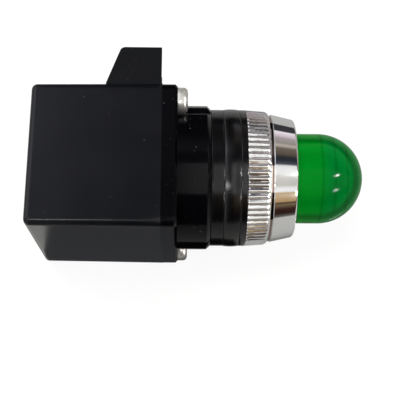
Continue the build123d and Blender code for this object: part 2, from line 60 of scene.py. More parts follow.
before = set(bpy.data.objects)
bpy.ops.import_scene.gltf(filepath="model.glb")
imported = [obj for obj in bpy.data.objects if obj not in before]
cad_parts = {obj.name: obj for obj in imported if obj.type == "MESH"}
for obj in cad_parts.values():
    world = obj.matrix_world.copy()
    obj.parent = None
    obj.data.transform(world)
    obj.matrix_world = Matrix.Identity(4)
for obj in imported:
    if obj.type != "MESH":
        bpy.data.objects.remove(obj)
CAD_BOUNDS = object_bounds()
MM = 0.001


def span(node):
    """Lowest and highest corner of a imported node, in millimetres."""
    low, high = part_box(node)
    return low / MM, high / MM


def linear(code):
    """An sRGB hex colour as linear red, green and blue."""
    parts = [int(code[i : i + 2], 16) / 255 for i in (1, 3, 5)]
    return tuple(p / 12.92 if p <= 0.04045 else ((p + 0.055) / 1.055) ** 2.4 for p in parts)


# Places that several pieces share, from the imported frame, in millimetres
CASE_HIGH = span("rear_case")[1]
BODY_LOW, BODY_HIGH = span("front_body")
NUT_LOW, NUT_HIGH = span("knurled_nut")
NOSE_LOW, NOSE_HIGH = span("nose_bezel")
LENS_LOW, LENS_HIGH = span("lens")
CAP_HIGH = span("lamp_cap")[1]
GLASS_LOW, GLASS_HIGH = span("lamp_glass")
FLOOR_Z = CAD_BOUNDS[0][2] / MM


def user_colour(name, words, code):
    """A colour that a user may change."""
    return bpy.props.FloatVectorProperty(name=name, description=words, subtype="COLOR", default=linear(code))


def user_length(name, words, mm):
    """A length that a user may change, from its default in millimetres."""
    return bpy.props.FloatProperty(name=name, description=words, unit="LENGTH", default=mm * MM)


class PushbuttonColours(bpy.types.PropertyGroup):
    """Colours of the finishes"""

    case: user_colour("Case", "Satin nylon of the rear case", "#07080c")
    body: user_colour("Body", "Glossy flange and drum", "#020204")
    block: user_colour("Terminal block", "Matte terminal block", "#07080a")
    rings: user_colour("Rings", "Turned ring and gaskets", "#020203")
    lens: user_colour("Lens", "Green acrylic of the lens", "#00761c")
    # Painted shade: a deeper copy of the lens's colour for the dome
    lens_dome_shade: user_colour("Lens, deep", "The same acrylic in the dome", "#006c28")
    chrome: user_colour("Chrome", "Plated nut and nose", "#eeeeee")
    groove_plate: user_colour("Groove plate", "Plate in the nose's groove", "#8a766c")
    zinc: user_colour("Zinc", "Plated screws and washers", "#c4c2bb")
    natural: user_colour("Natural nylon", "Sliding inner parts", "#dedbd0")
    floor: user_colour("Floor", "Pale card under the switch", "#d2d2d0")
    table: user_colour("Table", "That card as polished surfaces see it", "#9a9a98")


class PushbuttonSizes(bpy.types.PropertyGroup):
    """Sizes of the finish, all as on the real switch"""

    edge_break: user_length("Edge break", "Round on a moulded edge", 0.16)
    metal_edge: user_length("Metal edge", "Round on a stamped or turned metal edge", 0.09)
    ring_edge: user_length("Ring edge", "Round on a ring's rim", 0.14)
    neck_radius: user_length("Neck radius", "Bore of the rings, the nut and the nose", 12.45)
    knurl_count: bpy.props.IntProperty(
        name="Ridges", description="Ridges round the knurled nut", default=72, min=12
    )
    knurl_depth: user_length("Knurl depth", "Height of a ridge at the nut's rear", 0.35)
    knurl_wear: bpy.props.FloatProperty(
        name="Knurl wear", description="Share of its height a ridge has lost", subtype="FACTOR", default=0.12
    )
    nut_taper: user_length("Nut taper", "Loss of radius over the straight ridges", 0.25)
    nut_shoulder: user_length("Nut shoulder", "Length of the rounded shoulder", 0.9)
    nut_drop: user_length("Nut drop", "Loss of radius over that shoulder", 0.35)
    nut_lip: user_length("Nut lip", "Width of the plain lip at the nut's front", 0.25)
    nut_lip_slope: user_length("Lip slope", "Loss of radius along that lip", 0.1)
    nose_groove: user_length("Nose groove", "Width of the groove behind the nose", 0.7)
    groove_depth: user_length("Groove depth", "Depth of that groove", 0.2)
    nose_round: user_length("Nose round", "Round at the nose's front", 0.45)
    nose_slope: user_length("Nose slope", "Loss of radius along the nose's cone", 1.12)
    lens_clearance: user_length("Lens clearance", "Gap between the lens and the nose", 0.3)
    lens_wall: user_length("Lens wall", "Wall of the lens", 1.5)
    lens_foot: user_length("Lens foot", "Thickness of the lens's foot", 1.5)
    lens_foot_width: user_length("Foot width", "How far the foot stands out", 0.9)
    lens_steps: bpy.props.IntProperty(
        name="Lens steps", description="Steps inside the dome", default=3, min=1
    )


COLOUR_NAMES = list(PushbuttonColours.__annotations__)
SIZE_NAMES = list(PushbuttonSizes.__annotations__)


def size_mm(name):
    """One size of the finish, in millimetres."""
    return getattr(bpy.context.scene.pushbutton_sizes, name) / MM


def colour(name):
    """One colour of the finish with its alpha."""
    return (*getattr(bpy.context.scene.pushbutton_colours, name), 1.0)


BLACK = (0.0, 0.0, 0.0, 1.0)
WHITE = (1.0, 1.0, 1.0, 1.0)


def paint(code):
    """An sRGB hex colour as a linear colour with its alpha."""
    return linear(code) + (1.0,)


def mixed(first, second, share):
    """A colour between two."""
    return tuple(a + (b - a) * share for a, b in zip(first, second))


def add_node(tree, kind, inputs=None, stops=(), **settings):
    """Adds one node: inputs are values or sockets by name or number, stops a ramp's, the rest settings."""
    node = tree.nodes.new(kind)
    for key, value in settings.items():
        setattr(node, key, value)
    for key, value in (inputs or {}).items():
        if isinstance(value, bpy.types.NodeSocket):
            tree.links.new(value, node.inputs[key])
        else:
            node.inputs[key].default_value = value
    for i, (place, value) in enumerate(stops):
        elements = node.color_ramp.elements
        element = elements[i] if i < 2 else elements.new(place)
        element.position = place
        element.color = value
    return node


def new_material(name, **constants):
    """A material with its shader's plain values set.

    Gives the material, its tree, its shader and the object coordinates in millimetres.
    """
    material = bpy.data.materials.new(name)
    material.use_nodes = True
    tree = material.node_tree
    shader = tree.nodes["Principled BSDF"]
    for key, value in constants.items():
        shader.inputs[key.replace("_", " ")].default_value = value
    where = add_node(tree, "ShaderNodeTexCoord")
    mm = add_node(tree, "ShaderNodeMapping", {"Vector": where.outputs["Object"], "Scale": [1 / MM] * 3})
    return material, tree, shader, mm.outputs["Vector"]


def lay_finish(tree, shader, pattern, tones, gloss, relief, height, reach=(0.0, 1.0)):
    """Lets a pattern set colour and gloss, each between two ends, and a relief of some height the bump.

    Reach is the stretch of the pattern over which the gloss changes. Gives the colour's socket.
    """
    tone = add_node(tree, "ShaderNodeMix", {0: pattern, 6: tones[0], 7: tones[1]}, data_type="RGBA")
    ends = {"From Min": reach[0], "From Max": reach[1], "To Min": gloss[0], "To Max": gloss[1]}
    rough = add_node(tree, "ShaderNodeMapRange", {"Value": pattern, **ends})
    bump = add_node(tree, "ShaderNodeBump", {"Height": relief, "Distance": height * MM, "Strength": 1.0})
    tree.links.new(tone.outputs[2], shader.inputs["Base Color"])
    tree.links.new(rough.outputs["Result"], shader.inputs["Roughness"])
    tree.links.new(bump.outputs["Normal"], shader.inputs["Normal"])
    return tone.outputs[2]


PLASTIC_IOR = 1.5
# Size of a flow cloud in a moulding in mm, how much darker and paler it gets, and how far its gloss strays
FLOW_MM = 8.33
FLOW_DARKER = 0.2
FLOW_PALER = 0.001
FLOW_GLOSS = 0.05
# Dust: room of a speck in mm, the noise above which it shows, its soft rim, how much it covers, its colour
DUST_MM = 0.435
DUST_START = 0.8
DUST_RIM = 0.04
DUST_COVER = 0.6
DUST_COLOUR = "#5a5955"
# How much darker the lines on a turned ring are, and how far its gloss strays
LINE_DARKER = 0.3
LINE_GLOSS = 0.12
# Stretch of the noise over which a metal's gloss changes
BLOTCH_REACH = (0.3, 0.7)


def moulded_plastic(name, base, roughness, shine, grain_mm, grain_height, dust):
    """Injection moulded plastic: cloudy colour and gloss from its flow, the mould's fine grain, pale dust.

    The more dust, the lower the noise at which a speck shows.
    """
    material, tree, shader, mm = new_material(name, IOR=PLASTIC_IOR, Specular_IOR_Level=shine)
    cloud = add_node(tree, "ShaderNodeTexNoise", {"Vector": mm, "Scale": 1 / FLOW_MM, "Detail": 3.0})
    grain = add_node(tree, "ShaderNodeTexNoise", {"Vector": mm, "Scale": 1 / grain_mm, "Detail": 2.0})
    tones = (mixed(base, BLACK, FLOW_DARKER), mixed(base, WHITE, FLOW_PALER))
    gloss = (roughness - FLOW_GLOSS, roughness + FLOW_GLOSS)
    tone = lay_finish(tree, shader, cloud.outputs["Fac"], tones, gloss, grain.outputs["Fac"], grain_height)
    speck = add_node(tree, "ShaderNodeTexNoise", {"Vector": mm, "Scale": 1 / DUST_MM, "Detail": 1.0})
    start = DUST_START - dust
    ends = {"From Min": start, "From Max": start + DUST_RIM, "To Max": DUST_COVER}
    share = add_node(tree, "ShaderNodeMapRange", {"Value": speck.outputs["Fac"], **ends})
    dusty = add_node(
        tree, "ShaderNodeMix", {0: share.outputs["Result"], 6: tone, 7: paint(DUST_COLOUR)}, data_type="RGBA"
    )
    tree.links.new(dusty.outputs[2], shader.inputs["Base Color"])
    return material


def turned_plastic(name, base, roughness, shine, line_mm, line_height):
    """Turned or moulded ring stock: lines run round it, so colour, gloss and height change along the axis."""
    material, tree, shader, mm = new_material(name, IOR=PLASTIC_IOR, Specular_IOR_Level=shine)
    along = add_node(tree, "ShaderNodeSeparateXYZ", {"Vector": mm})
    lines = add_node(
        tree,
        "ShaderNodeTexNoise",
        {"W": along.outputs["X"], "Scale": 1 / line_mm, "Detail": 4.0, "Roughness": 0.7},
        noise_dimensions="1D",
    ).outputs["Fac"]
    tones = (mixed(base, BLACK, LINE_DARKER), mixed(base, WHITE, FLOW_PALER))
    gloss = (roughness - LINE_GLOSS, roughness + LINE_GLOSS)
    lay_finish(tree, shader, lines, tones, gloss, lines, line_height)
    return material


def worked_metal(name, base, roughness, blotch_mm, blotch, grain_mm, grain_height, metallic=1.0):
    """Plated or stamped metal: gloss clouds over in blotches, and a slight texture comes from the tool."""
    material, tree, shader, mm = new_material(name, Metallic=metallic)
    clouds = add_node(
        tree, "ShaderNodeTexNoise", {"Vector": mm, "Scale": 1 / blotch_mm, "Detail": 4.0, "Roughness": 0.6}
    ).outputs["Fac"]
    grain = add_node(
        tree, "ShaderNodeTexNoise", {"Vector": mm, "Scale": 1 / grain_mm, "Detail": 3.0}
    ).outputs["Fac"]
    tones = (mixed(base, BLACK, blotch), base)
    gloss = (roughness * (1 - blotch), roughness * (1 + blotch))
    lay_finish(tree, shader, clouds, tones, gloss, grain, grain_height, BLOTCH_REACH)
    return material


# Share of the nose's groove that is browned
BROWNED_SHARE = 0.7


def brown_groove(material):
    """Darkens and browns the plate over the middle of the groove behind the nose."""
    tree = material.node_tree
    shader = tree.nodes["Principled BSDF"]
    where = add_node(tree, "ShaderNodeTexCoord")
    along = add_node(tree, "ShaderNodeSeparateXYZ", {"Vector": where.outputs["Object"]})
    half = 0.5 * size_mm("nose_groove") * MM
    within = add_node(
        tree,
        "ShaderNodeMath",
        {0: along.outputs["X"], 1: NOSE_LOW.x * MM + half, 2: BROWNED_SHARE * half},
        operation="COMPARE",
    )
    plate = shader.inputs["Base Color"].links[0].from_socket
    browned = add_node(
        tree, "ShaderNodeMix", {0: within.outputs[0], 6: plate, 7: colour("groove_plate")}, data_type="RGBA"
    )
    tree.links.new(browned.outputs[2], shader.inputs["Base Color"])


# Share of the dome's inner radius that its steps take up
LENS_STEP_SHARE = 0.976
# Painted shade on the lens: how much of its colour it keeps, from where it faces the eye, 0, to its rim, 1.
# It is painted darkest where the eye looks along the bore's wall, and at the rim.
LENS_RIM_SHADE = [
    (0.0, 1.0),
    (0.16, 0.84),
    (0.26, 1.0),
    (0.36, 1.0),
    (0.46, 0.55),
    (0.54, 0.55),
    (0.64, 0.85),
    (0.85, 0.85),
    (1.0, 0.6),
]
# The dyed stuff itself: its index, the light that goes through it, and a painted glow for the light it gives
# back
LENS_IOR = 1.12
LENS_CLEAR = 0.3
LENS_PAINTED_GLOW = 0.3
# Its flow clouds in mm and how much darker they are, the ends of its gloss, its ripple's length and height
LENS_CLOUD_MM = 4.0
LENS_CLOUD_DARKER = 0.18
LENS_GLOSS = (0.02, 0.07)
RIPPLE_MM = 1.11
RIPPLE_HEIGHT = 0.01
# Painted dark lines that stand in for the steps seen through the wall: strength, half the dark core and half
# the whole line in mm, how far they darken, and half the band that holds the three lines, in steps
STEP_LINE = 0.32
STEP_CORE = 0.05
STEP_FADE = 0.45
STEP_DARKER = 0.8
STEP_BAND = 1.3
# Where the painted deeper shade of the dome starts and is whole, in mm from the dome's centre, and how much
# of it there is
DEEP_START = -0.5
DEEP_WHOLE = 1.5
DEEP_SHARE = 0.9


def green_acrylic():
    """Dyed acrylic, moulded and bright, with a painted green glow for the light that goes into the wall and
    comes back.

    The dome is painted a deeper shade than the barrel, painted darker lines round it stand in for the steps
    inside it, and its colour is painted darker by how it faces the eye.
    """
    material, tree, shader, mm = new_material(
        "dyed_acrylic", IOR=LENS_IOR, Transmission_Weight=LENS_CLEAR, Emission_Strength=LENS_PAINTED_GLOW
    )
    flow = add_node(tree, "ShaderNodeTexNoise", {"Vector": mm, "Scale": 1 / LENS_CLOUD_MM, "Detail": 2.0})
    ripple = add_node(tree, "ShaderNodeTexNoise", {"Vector": mm, "Scale": 1 / RIPPLE_MM, "Detail": 1.0})
    base = colour("lens")
    tones = (mixed(base, BLACK, LENS_CLOUD_DARKER), base)
    tone = lay_finish(
        tree, shader, flow.outputs["Fac"], tones, LENS_GLOSS, ripple.outputs["Fac"], RIPPLE_HEIGHT
    )
    # Painted shade: dark lines round the dome stand in for the steps inside it
    outer = LENS_HIGH.z - size_mm("lens_foot_width")
    centre = LENS_HIGH.x - outer
    pitch = LENS_STEP_SHARE * (outer - size_mm("lens_wall")) / bpy.context.scene.pushbutton_sizes.lens_steps
    along = add_node(tree, "ShaderNodeSeparateXYZ", {"Vector": mm}).outputs["X"]
    from_line = add_node(tree, "ShaderNodeMath", {0: along, 1: centre - 0.5 * pitch}, operation="SUBTRACT")
    in_pitch = add_node(
        tree, "ShaderNodeMath", {0: from_line.outputs[0], 1: pitch}, operation="FLOORED_MODULO"
    )
    off = add_node(tree, "ShaderNodeMath", {0: in_pitch.outputs[0], 1: 0.5 * pitch}, operation="SUBTRACT")
    gap = add_node(tree, "ShaderNodeMath", {0: off.outputs[0]}, operation="ABSOLUTE")
    ends = {"From Min": STEP_CORE, "From Max": STEP_FADE, "To Min": STEP_LINE, "To Max": 0.0}
    line = add_node(tree, "ShaderNodeMapRange", {"Value": gap.outputs[0], **ends})
    within = add_node(
        tree, "ShaderNodeMath", {0: along, 1: centre + pitch, 2: STEP_BAND * pitch}, operation="COMPARE"
    )
    shown = add_node(
        tree, "ShaderNodeMath", {0: line.outputs["Result"], 1: within.outputs[0]}, operation="MULTIPLY"
    )
    # Painted shade: the dome takes a deeper copy of the lens's colour
    ends = {"From Min": centre + DEEP_START, "From Max": centre + DEEP_WHOLE, "To Max": DEEP_SHARE}
    depth = add_node(tree, "ShaderNodeMapRange", {"Value": along, **ends})
    deeper = add_node(
        tree,
        "ShaderNodeMix",
        {0: depth.outputs["Result"], 6: tone, 7: colour("lens_dome_shade")},
        data_type="RGBA",
    )
    step_shaded = add_node(
        tree,
        "ShaderNodeMix",
        {0: shown.outputs[0], 6: deeper.outputs[2], 7: mixed(base, BLACK, STEP_DARKER)},
        data_type="RGBA",
    )
    # Painted shade: the colour darkens by how the lens faces the eye, along the bore's wall and at the rim
    rim = add_node(tree, "ShaderNodeLayerWeight", {"Blend": 0.5})
    wall = add_node(
        tree,
        "ShaderNodeValToRGB",
        {"Fac": rim.outputs["Facing"]},
        stops=[(place, (share, share, share, 1.0)) for place, share in LENS_RIM_SHADE],
    )
    rim_shaded = add_node(
        tree,
        "ShaderNodeMix",
        {0: 1.0, 6: step_shaded.outputs[2], 7: wall.outputs["Color"]},
        data_type="RGBA",
        blend_type="MULTIPLY",
    )
    tree.links.new(rim_shaded.outputs[2], shader.inputs["Base Color"])
    # Painted glow: the lens gives off its own shaded colour, though it is no lamp
    tree.links.new(rim_shaded.outputs[2], shader.inputs["Emission Color"])
    return material


# Bulb glass: its index, its tint, size of a hazy patch in mm and the haze's roughness
GLASS_IOR = 1.5
GLASS_TINT = (0.95, 0.97, 0.95, 1.0)
HAZE_MM = 1.25
HAZE_ROUGHNESS = 0.06


def blown_glass():
    """Thin clear bulb glass with a faint haze here and there."""
    material, tree, shader, mm = new_material("blown_glass", IOR=GLASS_IOR, Transmission_Weight=1.0)
    haze = add_node(tree, "ShaderNodeTexNoise", {"Vector": mm, "Scale": 1 / HAZE_MM, "Detail": 2.0})
    ends = {"To Min": 0.0, "To Max": HAZE_ROUGHNESS}
    gloss = add_node(tree, "ShaderNodeMapRange", {"Value": haze.outputs["Fac"], **ends})
    tree.links.new(gloss.outputs["Result"], shader.inputs["Roughness"])
    shader.inputs["Base Color"].default_value = GLASS_TINT
    return material


MATERIALS = {}


def all_materials():
    """Every finish of the switch, made once. Sizes of grain, lines and blotches are in millimetres."""
    if MATERIALS:
        return MATERIALS
    # Each moulding has its colour, roughness, shine, grain size and height, and dust
    for key, name, base, *values in (
        # Glass-filled nylon from a spark-eroded mould: satin, near black, slightly cloudy
        ("case", "moulded_nylon", colour("case"), 0.22, 0.2, 0.09, 0.001, 0.01),
        # ABS from a polished mould: deep black and glossy, with a little dust on it
        ("body", "polished_abs", colour("body"), 0.12, 0.12, 0.35, 0.001, 0.05),
        # Phenolic moulding: near black and matte
        ("block", "moulded_phenolic", colour("block"), 0.42, 0.1, 0.12, 0.006, 0.02),
        # Natural nylon: off white, soft gloss
        ("natural", "natural_nylon", colour("natural"), 0.4, 0.4, 0.1, 0.004, 0.0),
    ):
        MATERIALS[key] = moulded_plastic(name, base, *values)
    # Acetal ring: black, with the lathe's fine lines
    MATERIALS["ring"] = turned_plastic(
        "turned_acetal", colour("rings"), roughness=0.2, shine=0.28, line_mm=0.16, line_height=0.003
    )
    # Nitrile rubber gasket: the same black with a broader sheen and coarser lines
    MATERIALS["rubber"] = turned_plastic(
        "nitrile_rubber", colour("rings"), roughness=0.2, shine=0.38, line_mm=0.22, line_height=0.004
    )
    # Green dyed acrylic: glossy and clear enough to look deep
    MATERIALS["lens"] = green_acrylic()
    # Blown glass of the lamp's bulb: clear, hardly seen
    MATERIALS["glass"] = blown_glass()
    # Each metal has its colour, roughness, blotch size and strength, grain size and height, metallic share
    for key, name, base, *values in (
        # Chromium plate on brass: a mirror with a faint haze
        ("nose", "chromium_plate", colour("chrome"), 0.06, 2.2, 0.1, 0.5, 0.002, 1.0),
        # Chromium plate on a knurled casting: the same metal, less smooth
        ("nut", "cast_chrome_knurl", colour("chrome"), 0.18, 0.7, 0.3, 0.24, 0.03, 1.0),
        # Bright zinc plate on steel: pale, dull and blotchy
        ("zinc", "zinc_plated_steel", colour("zinc"), 0.32, 0.8, 0.2, 0.15, 0.006, 0.7),
        # Stamped brass strip: yellow, with a rolled surface
        ("brass", "stamped_brass", paint("#d8b468"), 0.28, 1.6, 0.2, 0.2, 0.006, 1.0),
        # Silver contact rivet: pale and soft
        ("silver", "silver_contact", paint("#dcdcda"), 0.3, 0.6, 0.2, 0.12, 0.006, 1.0),
        # Drawn spring wire: grey steel with a fine drawn skin
        ("spring", "drawn_spring_wire", paint("#a9abb0"), 0.3, 0.5, 0.2, 0.08, 0.006, 1.0),
    ):
        MATERIALS[key] = worked_metal(name, base, *values)
    brown_groove(MATERIALS["nose"])
    return MATERIALS


# Closeness of points that are one, in millimetres: on a turned piece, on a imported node, and on the axis
MERGE = 1e-4
CAD_MERGE = 5e-4
ON_AXIS = 1e-6
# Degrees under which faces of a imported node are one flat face, and over which an edge is sharp
FLAT_ANGLE = 0.3
SHARP_ANGLE = 32
# Weight of large faces in the shading
SHADING_WEIGHT = 60


def turned(outline, segments=128, arc_steps=5):
    """A solid of revolution about X, from (x, radius, corner round) in mm, in order round the section."""
    bm = bmesh.new()
    corners = [bm.verts.new((x, 0.0, radius)) for x, radius, _ in outline]
    bm.faces.new(corners)
    for corner, (_, _, corner_round) in zip(corners, outline):
        if corner_round:
            bmesh.ops.bevel(
                bm,
                geom=[corner],
                offset=corner_round,
                segments=arc_steps,
                profile=0.5,
                affect="VERTICES",
                material=-1,
            )
    bmesh.ops.delete(bm, geom=bm.faces[:], context="FACES_ONLY")
    on_axis = [e for e in bm.edges if all(abs(v.co.z) < ON_AXIS for v in e.verts)]
    bmesh.ops.delete(bm, geom=on_axis, context="EDGES")
    bmesh.ops.spin(
        bm,
        geom=bm.verts[:] + bm.edges[:],
        cent=(0, 0, 0),
        axis=(1, 0, 0),
        angle=2 * math.pi,
        steps=segments,
        use_merge=True,
    )
    bmesh.ops.remove_doubles(bm, verts=bm.verts, dist=MERGE)
    bmesh.ops.recalc_face_normals(bm, faces=bm.faces)
    return bm


def cad_copy(node):
    """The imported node's own form in mm: merged, with each flat face whole again."""
    bm = bmesh.new()
    bm.from_mesh(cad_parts[node].data)
    bmesh.ops.scale(bm, vec=[1 / MM] * 3, verts=bm.verts)
    bmesh.ops.remove_doubles(bm, verts=bm.verts, dist=CAD_MERGE)
    bmesh.ops.dissolve_limit(bm, angle_limit=math.radians(FLAT_ANGLE), verts=bm.verts, edges=bm.edges)
    return bm


def break_edges(bm, size, wanted=None):
    """Rounds the sharp edges, or those of them that are wanted."""
    sharp = []
    for edge in bm.edges:
        if len(edge.link_faces) == 2 and edge.calc_face_angle(0.0) > math.radians(SHARP_ANGLE):
            if wanted is None or wanted(edge):
                sharp.append(edge)
    bmesh.ops.bevel(
        bm,
        geom=sharp,
        offset=size,
        segments=2,
        profile=0.5,
        affect="EDGES",
        material=-1,
        clamp_overlap=True,
        loop_slide=True,
    )
    return bm


def finish_piece(bm, name, finish, body, slot, replaced=(), weighted=True, smooth_angle=SHARP_ANGLE):
    """Makes the object from a bmesh in mm and gives it its finish, its body and what it stands for."""
    bmesh.ops.scale(bm, vec=[MM] * 3, verts=bm.verts)
    mesh = bpy.data.meshes.new(name)
    bm.to_mesh(mesh)
    bm.free()
    mesh.shade_smooth()
    mesh.set_sharp_from_angle(angle=math.radians(smooth_angle))
    mesh.materials.append(all_materials()[finish])
    piece = bpy.data.objects.new(name, mesh)
    bpy.context.scene.collection.objects.link(piece)
    if weighted:
        shading = piece.modifiers.new("even_shading", "WEIGHTED_NORMAL")
        shading.keep_sharp = True
        shading.weight = SHADING_WEIGHT
    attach(piece, body)
    if replaced:
        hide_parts(*replaced)
    return piece


# How near a point counts as on a face, in millimetres
NEAR = 0.01
# Shares of the edge break on the flange and drum, on the terminal block and on the seal
BODY_EDGE_SHARE = 0.7
BLOCK_EDGE_SHARE = 0.8
SEAL_EDGE_SHARE = 0.5
# Share of the flange's width beyond which its edges are broken, and the block's shortest edge that is, in mm
FLANGE_SHARE = 0.45
BLOCK_SHORT_EDGE = 0.25


class PUSHBUTTON_OT_rear_case(bpy.types.Operator):
    """Build the square rear case with its guides, bosses and pedestals"""

    bl_idname = "pushbutton.rear_case"
    bl_label = "Rear case"

    def execute(self, context):
        bm = cad_copy("rear_case")
        rim = CASE_HIGH.x - NEAR
        break_edges(bm, size_mm("edge_break"), lambda e: all(v.co.x > rim for v in e.verts))
        finish_piece(bm, "rear_case_shell", "case", "housing", "case_plastic", ["rear_case"])
        return {"FINISHED"}


class PUSHBUTTON_OT_front_body(bpy.types.Operator):
    """Build the flange, drum and neck"""

    bl_idname = "pushbutton.front_body"
    bl_label = "Front body"

    def execute(self, context):
        bm = cad_copy("front_body")
        outer = FLANGE_SHARE * (BODY_HIGH.y - BODY_LOW.y)
        break_edges(
            bm,
            BODY_EDGE_SHARE * size_mm("edge_break"),
            lambda e: all(Vector((0, v.co.y, v.co.z)).length > outer for v in e.verts),
        )
        finish_piece(bm, "front_body_moulding", "body", "housing", "body_plastic", ["front_body"])
        return {"FINISHED"}


class PUSHBUTTON_OT_terminal_block(bpy.types.Operator):
    """Build the terminal block with its barriers"""

    bl_idname = "pushbutton.terminal_block"
    bl_label = "Terminal block"

    def execute(self, context):
        node = "terminal_block"
        bm = cad_copy(node)
        outside = CASE_HIGH.y + 2 * NEAR
        break_edges(
            bm,
            BLOCK_EDGE_SHARE * size_mm("edge_break"),
            lambda e: e.calc_length() > BLOCK_SHORT_EDGE and any(v.co.y > outside for v in e.verts),
        )
        finish_piece(bm, node + "_moulding", "block", "housing", "terminal_plastic", [node])
        return {"FINISHED"}


# Places across a gasket where its bulge is modelled
CROWN_SHARES = (0.15, 0.3, 0.4, 0.5, 0.6, 0.7, 0.85)


class PUSHBUTTON_OT_neck_rings(bpy.types.Operator):
    """Turn the spacer ring and the two gaskets"""

    bl_idname = "pushbutton.neck_rings"
    bl_label = "Neck rings"

    def execute(self, context):
        edge = size_mm("ring_edge")
        bore = size_mm("neck_radius")
        side = span("spacer_ring")[1].z
        for node, finish, slot in (
            ("spacer_ring", "ring", "ring_plastic"),
            ("rear_gasket", "rubber", "gasket_rubber"),
            ("front_gasket", "rubber", "gasket_rubber"),
        ):
            low, high = span(node)
            outline = [(low.x, bore, 0), (low.x, side, edge)]
            for share in CROWN_SHARES:
                bulge = (high.z - side) * (1 - (2 * share - 1) ** 2)
                outline.append((low.x + share * (high.x - low.x), side + bulge, 0))
            outline += [(high.x, side, edge), (high.x, bore, 0)]
            finish_piece(turned(outline), node + "_turned", finish, "housing", slot, [node])
        return {"FINISHED"}


# Rows of points along the ridges and round the shoulder, and steps across a ridge
RIDGE_ROWS = 8
SHOULDER_ROWS = 8
RIDGE_STEPS = 10
# How blunt a ridge's crest is, where the ridges start in front of the nut's rear face, the wear's seed, and
# the angle in degrees up to which the knurl is shaded smooth
KNURL_CREST = 1.2
KNURL_START = 0.04
KNURL_SEED = 11
KNURL_SMOOTH_ANGLE = 60
# How far under the lip's front radius a point still belongs to the knurl, in millimetres
KNURL_SKIN = 0.1
# The lip's broken front edge: its length, and how far its ends are above and below the lip's front radius
LIP_BREAK = 0.06
LIP_BREAK_ABOVE = 0.03
LIP_BREAK_BELOW = 0.04


class PUSHBUTTON_OT_knurled_nut(bpy.types.Operator):
    """Turn the nut and press its straight knurl"""

    bl_idname = "pushbutton.knurled_nut"
    bl_label = "Knurled nut"

    def execute(self, context):
        sizes = context.scene.pushbutton_sizes
        count = sizes.knurl_count
        bore = size_mm("neck_radius")
        rear = NUT_HIGH.z
        ridge_end = rear - size_mm("nut_taper")
        lip_radius = ridge_end - size_mm("nut_drop")
        front = lip_radius - size_mm("nut_lip_slope")
        lip_x = NUT_HIGH.x - size_mm("nut_lip")
        shoulder_x = lip_x - size_mm("nut_shoulder")
        first = NUT_LOW.x + KNURL_START
        tips = [(first, rear)]
        for i in range(1, RIDGE_ROWS + 1):
            share = i / RIDGE_ROWS
            tips.append((first + (shoulder_x - first) * share, rear + (ridge_end - rear) * share))
        for i in range(1, SHOULDER_ROWS + 1):
            share = i / SHOULDER_ROWS
            drop = (ridge_end - lip_radius) * (1 - math.sqrt(1 - share**2))
            tips.append((shoulder_x + (lip_x - shoulder_x) * share, ridge_end - drop))
        valley_rear = rear - size_mm("knurl_depth")
        outline = [(NUT_LOW.x, bore, 0), (NUT_LOW.x, valley_rear, 0)]
        outline += [(x, radius, 0) for x, radius in tips]
        outline += [
            (NUT_HIGH.x - LIP_BREAK, front + LIP_BREAK_ABOVE, 0),
            (NUT_HIGH.x, front - LIP_BREAK_BELOW, 0),
            (NUT_HIGH.x, bore, 0),
        ]
        bm = turned(outline, segments=RIDGE_STEPS * count)
        rng = random.Random(KNURL_SEED)
        heights = [1 - sizes.knurl_wear * rng.random() for _ in range(count)]
        for vert in bm.verts:
            radius = math.hypot(vert.co.y, vert.co.z)
            if radius < front - KNURL_SKIN or not first - NEAR < vert.co.x < lip_x - NEAR:
                continue
            along = (vert.co.x - NUT_LOW.x) / (lip_x - NUT_LOW.x)
            valley = valley_rear + (lip_radius - valley_rear) * along
            turn = math.atan2(vert.co.z, vert.co.y) / (2 * math.pi) * count
            ridge = round(turn) % count
            slant = min(1.0, KNURL_CREST * (1 - 2 * abs(turn - round(turn))))
            knurl = valley + (radius - valley) * slant * heights[ridge]
            vert.co.y *= knurl / radius
            vert.co.z *= knurl / radius
        node = "knurled_nut"
        shading = {"weighted": False, "smooth_angle": KNURL_SMOOTH_ANGLE}
        finish_piece(bm, node + "_turned", "nut", "housing", "chrome_plate", [node], **shading)
        return {"FINISHED"}


# Corner rounds of the nose in millimetres: its groove's bottom, the cone's rear edge, the opening's rim
GROOVE_ROUND = 0.05
CONE_ROUND = 0.1
OPENING_ROUND = 0.35


class PUSHBUTTON_OT_nose(bpy.types.Operator):
    """Turn the chromed nose"""

    bl_idname = "pushbutton.nose"
    bl_label = "Nose"

    def execute(self, context):
        cone_rear = NOSE_LOW.x + size_mm("nose_groove")
        groove_radius = NOSE_HIGH.z - size_mm("groove_depth")
        seat = size_mm("neck_radius")
        opening = LENS_HIGH.z - size_mm("lens_foot_width") + size_mm("lens_clearance")
        outline = [
            (NOSE_LOW.x, seat, 0),
            (NOSE_LOW.x, groove_radius, 0),
            (cone_rear, groove_radius, GROOVE_ROUND),
            (cone_rear, NOSE_HIGH.z, CONE_ROUND),
            (NOSE_HIGH.x, NOSE_HIGH.z - size_mm("nose_slope"), size_mm("nose_round")),
            (NOSE_HIGH.x, opening, OPENING_ROUND),
            (BODY_HIGH.x, opening, 0),
            (BODY_HIGH.x, seat, 0),
        ]
        bm = turned(outline, segments=192, arc_steps=8)
        finish_piece(bm, "nose_bezel_turned", "nose", "housing", "chrome_plate", ["nose_bezel"])
        return {"FINISHED"}


# Corner rounds of the lens in millimetres: its foot, the fillet on the foot, its steps; points on its dome
FOOT_ROUND = 0.15
FOOT_FILLET = 0.2
STEP_ROUND = 0.12
DOME_POINTS = 32


def quarter_arc(centre, radius, points, back=False):
    """Points of a dome's outline from its rim to the axis, or back from there."""
    angles = [0.5 * math.pi * i / points for i in range(points + 1)]
    if not back:
        angles.reverse()
    return [(centre + radius * math.cos(angle), radius * math.sin(angle), 0) for angle in angles]


